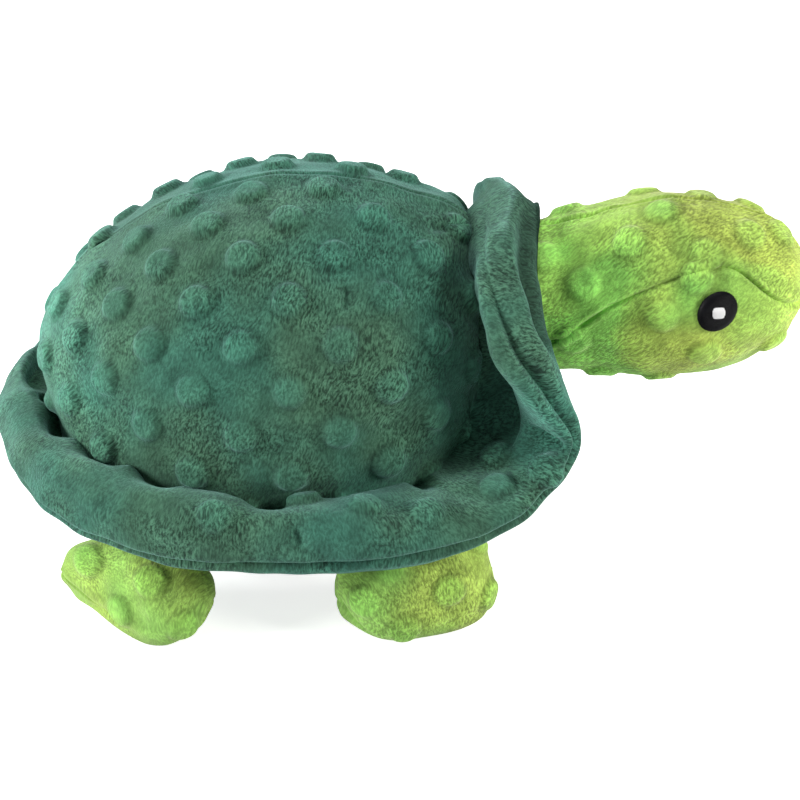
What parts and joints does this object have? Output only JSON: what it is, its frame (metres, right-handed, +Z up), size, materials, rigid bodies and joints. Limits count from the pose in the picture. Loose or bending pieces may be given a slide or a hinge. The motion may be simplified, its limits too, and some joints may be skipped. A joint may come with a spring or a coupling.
{
  "type": "plush turtle",
  "caption": "Stuffed turtle with a domed dimple-plush shell, a padded brim turned up as a hood over the neck, a soft head with embroidered eyes, and flat stuffed legs that flex.",
  "frame": {"origin": "on the ground under the middle of the toy's bounding box", "axes": "+Z up, +X towards the head, +Y the turtle's left side"},
  "size_m": [0.2191, 0.1384, 0.1126],
  "materials": {
    "dark_green_plush": "short-pile dimple plush",
    "lime_plush": "short-pile dimple plush",
    "polyester_filling": "loose fibre",
    "black_thread": "satin stitch",
    "white_thread": "satin stitch"
  },
  "bodies": {
    "body": {"shell_panel_left": "dark_green_plush", "shell_panel_right": "dark_green_plush", "underbody_panel": "dark_green_plush", "body_stuffing": "polyester_filling", "brim_upper_panel": "dark_green_plush", "brim_lower_panel": "dark_green_plush", "brim_wadding": "polyester_filling"},
    "neck": {"neck_seam_allowance": "lime_plush"},
    "head": {"head_crown_left": "lime_plush", "head_crown_right": "lime_plush", "head_cheek_left": "lime_plush", "head_cheek_right": "lime_plush", "head_stuffing": "polyester_filling", "eye_left": "black_thread", "eye_right": "black_thread", "eye_highlight_left": "white_thread", "eye_highlight_right": "white_thread"},
    "front_left_leg": {"front_left_leg_top": "lime_plush", "front_left_leg_sole": "lime_plush", "front_left_leg_stuffing": "polyester_filling"},
    "front_right_leg": {"front_right_leg_top": "lime_plush", "front_right_leg_sole": "lime_plush", "front_right_leg_stuffing": "polyester_filling"},
    "rear_left_leg": {"rear_left_leg_top": "lime_plush", "rear_left_leg_sole": "lime_plush", "rear_left_leg_stuffing": "polyester_filling"},
    "rear_right_leg": {"rear_right_leg_top": "lime_plush", "rear_right_leg_sole": "lime_plush", "rear_right_leg_stuffing": "polyester_filling"}
  },
  "joints": [
    {"name": "neck_turn", "type": "hinge", "parent": "body", "child": "neck", "pos_m": [0.033, 0, 0.0765], "axis": [0, 0, 1], "range_deg": [-12, 12], "stiffness_Nm_per_rad": 0.4},
    {"name": "neck_nod", "type": "hinge", "parent": "neck", "child": "head", "pos_m": [0.033, 0, 0.0765], "axis": [0, 1, 0], "range_deg": [-8, 8], "stiffness_Nm_per_rad": 0.8},
    {"name": "front_left_leg_lift", "type": "hinge", "parent": "body", "child": "front_left_leg", "pos_m": [0.00405, 0.04394, 0.0125], "axis": [0.9563, -0.2924, 0], "range_deg": [-40, 12], "stiffness_Nm_per_rad": 0.03},
    {"name": "front_right_leg_lift", "type": "hinge", "parent": "body", "child": "front_right_leg", "pos_m": [0.00405, -0.04394, 0.0125], "axis": [-0.9563, -0.2924, 0], "range_deg": [-40, 12], "stiffness_Nm_per_rad": 0.03},
    {"name": "rear_left_leg_lift", "type": "hinge", "parent": "body", "child": "rear_left_leg", "pos_m": [-0.06992, 0.0458, 0.0125], "axis": [0.9563, 0.2924, 0], "range_deg": [-40, 12], "stiffness_Nm_per_rad": 0.03},
    {"name": "rear_right_leg_lift", "type": "hinge", "parent": "body", "child": "rear_right_leg", "pos_m": [-0.06992, -0.0458, 0.0125], "axis": [-0.9563, 0.2924, 0], "range_deg": [-40, 12], "stiffness_Nm_per_rad": 0.03}
  ]
}
